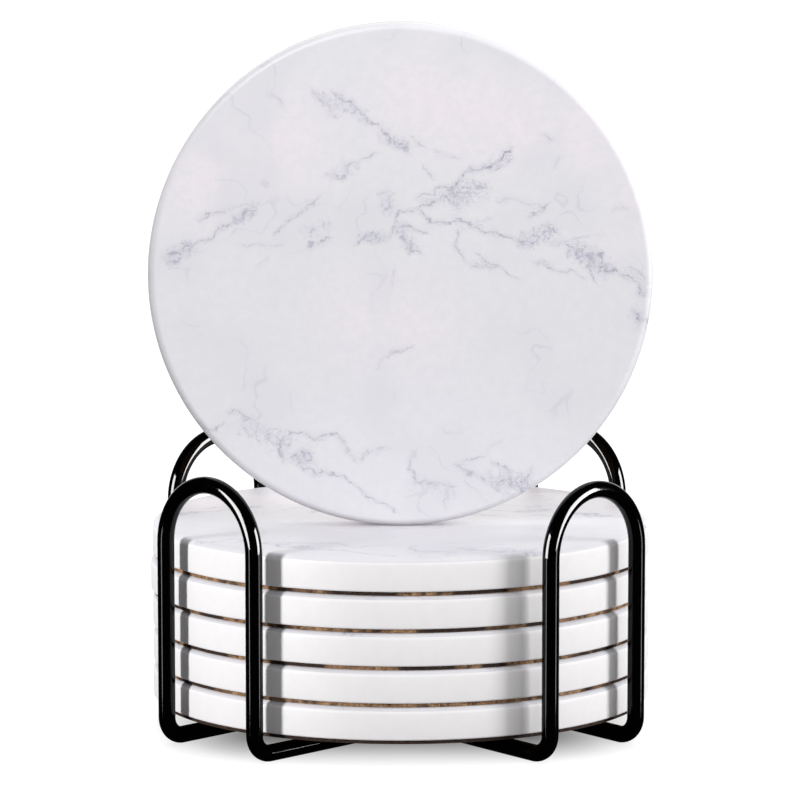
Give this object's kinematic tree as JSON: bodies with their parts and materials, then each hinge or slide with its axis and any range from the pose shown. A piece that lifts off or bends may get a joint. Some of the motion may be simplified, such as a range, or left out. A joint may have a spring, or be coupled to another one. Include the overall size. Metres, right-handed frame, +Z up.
{
  "type": "drink coaster set with wire holder",
  "caption": "Round ceramic drink coasters with a marble face and cork backs, stacked in a black wire holder with open corner loops, the last coaster upright on top.",
  "frame": {"origin": "on the table under the middle of the coaster stack, which is the middle of the whole part seen from above", "axes": "+Z up, -Y to the front, where the upright coaster shows its printed face, +X to the viewer's right"},
  "size_m": [0.102, 0.1016, 0.1431],
  "materials": {
    "marble_ceramic": "satin printed marble face, matte white rim",
    "cork": "pressed cork, matte",
    "black_wire": "gloss black coating on steel wire"
  },
  "bodies": {
    "holder": {"wire_ring_lower": "black_wire", "wire_ring_upper": "black_wire", "crossing_welds": "black_wire", "closing_welds": "black_wire"},
    "coaster_1": {"ceramic_disc_1": "marble_ceramic", "cork_pad_1": "cork"},
    "coaster_2": {"ceramic_disc_2": "marble_ceramic", "cork_pad_2": "cork"},
    "coaster_3": {"ceramic_disc_3": "marble_ceramic", "cork_pad_3": "cork"},
    "coaster_4": {"ceramic_disc_4": "marble_ceramic", "cork_pad_4": "cork"},
    "coaster_5": {"ceramic_disc_5": "marble_ceramic", "cork_pad_5": "cork"},
    "coaster_6": {"ceramic_disc_6": "marble_ceramic", "cork_pad_6": "cork"}
  },
  "joints": [
    {"name": "coaster_1_lift", "type": "slide", "parent": "holder", "child": "coaster_1", "axis": [0, 0, 1], "range_m": [0, 0.057]},
    {"name": "coaster_2_lift", "type": "slide", "parent": "coaster_1", "child": "coaster_2", "axis": [0, 0, 1], "range_m": [0, 0.049]},
    {"name": "coaster_3_lift", "type": "slide", "parent": "coaster_2", "child": "coaster_3", "axis": [0, 0, 1], "range_m": [0, 0.042]},
    {"name": "coaster_4_lift", "type": "slide", "parent": "coaster_3", "child": "coaster_4", "axis": [0, 0, 1], "range_m": [0, 0.035]},
    {"name": "coaster_5_lift", "type": "slide", "parent": "coaster_4", "child": "coaster_5", "axis": [0, 0, 1], "range_m": [0, 0.027]},
    {"name": "coaster_6_lift", "type": "slide", "parent": "coaster_5", "child": "coaster_6", "axis": [0, 0, 1], "range_m": [0, 0.02]}
  ]
}
